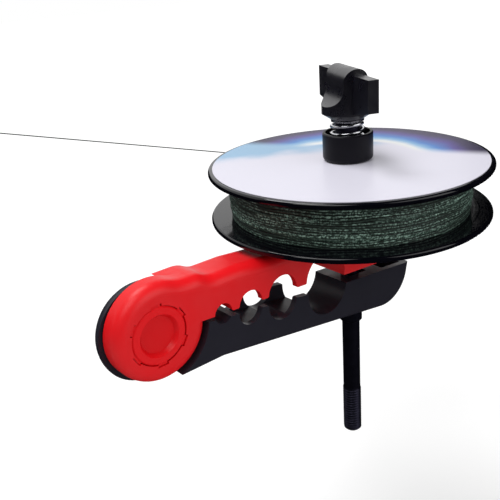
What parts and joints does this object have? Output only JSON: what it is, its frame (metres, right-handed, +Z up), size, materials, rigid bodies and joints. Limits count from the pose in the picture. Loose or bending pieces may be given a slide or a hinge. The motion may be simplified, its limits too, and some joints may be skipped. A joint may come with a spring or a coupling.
{
  "type": "fishing line winder",
  "caption": "Hand-held line spool holder: notched clamping jaws on a hinge, with a spool on a threaded stud held by a brake spring and a wing knob.",
  "frame": {"origin": "axis of the rod held in the jaws' smallest notch, halfway along the notch", "axes": "+X along the jaws from the hinge to the spool, +Y along the held rod, +Z up the stud to the wing knob"},
  "size_m": [0.1706, 0.1381, 0.1609],
  "materials": {
    "red_plastic": "satin",
    "black_plastic": "satin",
    "spool_plastic": "gloss",
    "label_print": "gloss",
    "braid": "matt",
    "free_braid": "matt",
    "bright_steel": "satin",
    "black_steel": "satin",
    "nylon": "satin"
  },
  "bodies": {
    "clamp_body": {"upper_arm": "red_plastic", "hinge_cap": "red_plastic", "hinge_nut": "bright_steel", "hinge_screw": "bright_steel", "hinge_sleeve": "bright_steel", "cheek_washer": "nylon", "rear_washer": "nylon", "spool_seat": "black_plastic", "spring_cup": "black_plastic", "brake_spring": "bright_steel", "free_line": "free_braid", "line_knot": "free_braid"},
    "lower_jaw": {"lower_arm": "black_plastic"},
    "stud_body": {"stud": "black_steel", "stud_collar": "black_steel"},
    "spool": {"lower_flange": "spool_plastic", "upper_flange": "spool_plastic", "spool_label": "label_print", "line_winding": "braid"},
    "knob_carrier": {"spring_ring": "bright_steel"},
    "knob": {"wing_knob": "black_plastic", "knob_bushing": "black_steel"}
  },
  "joints": [
    {"name": "jaw_swing", "type": "hinge", "parent": "clamp_body", "child": "lower_jaw", "pos_m": [-0.02595, 0, 0.00168], "axis": [0, 1, 0], "range_deg": [-1.8, 4.5]},
    {"name": "stud_travel", "type": "slide", "parent": "clamp_body", "child": "stud_body", "axis": [0, 0, 1], "range_m": [-0.0084, 0.0034]},
    {"name": "spool_spin", "type": "hinge", "parent": "clamp_body", "child": "spool", "pos_m": [0.07215, 0, 0.0266], "axis": [0, 0, 1], "continuous": true},
    {"name": "knob_travel", "type": "slide", "parent": "clamp_body", "child": "knob_carrier", "axis": [0, 0, 1], "range_m": [-0.00251, 0.00251], "deforming": ["brake_spring"]},
    {"name": "knob_turn", "type": "hinge", "parent": "knob_carrier", "child": "knob", "pos_m": [0.07215, 0, 0.0633], "axis": [0, 0, 1], "range_deg": [-720, 720]}
  ],
  "couplings": [
    {"joint": "stud_travel", "follows": "jaw_swing", "m_per_rad": -0.1065},
    {"joint": "knob_travel", "follows": "knob_turn", "m_per_rad": 0.00019894}
  ]
}
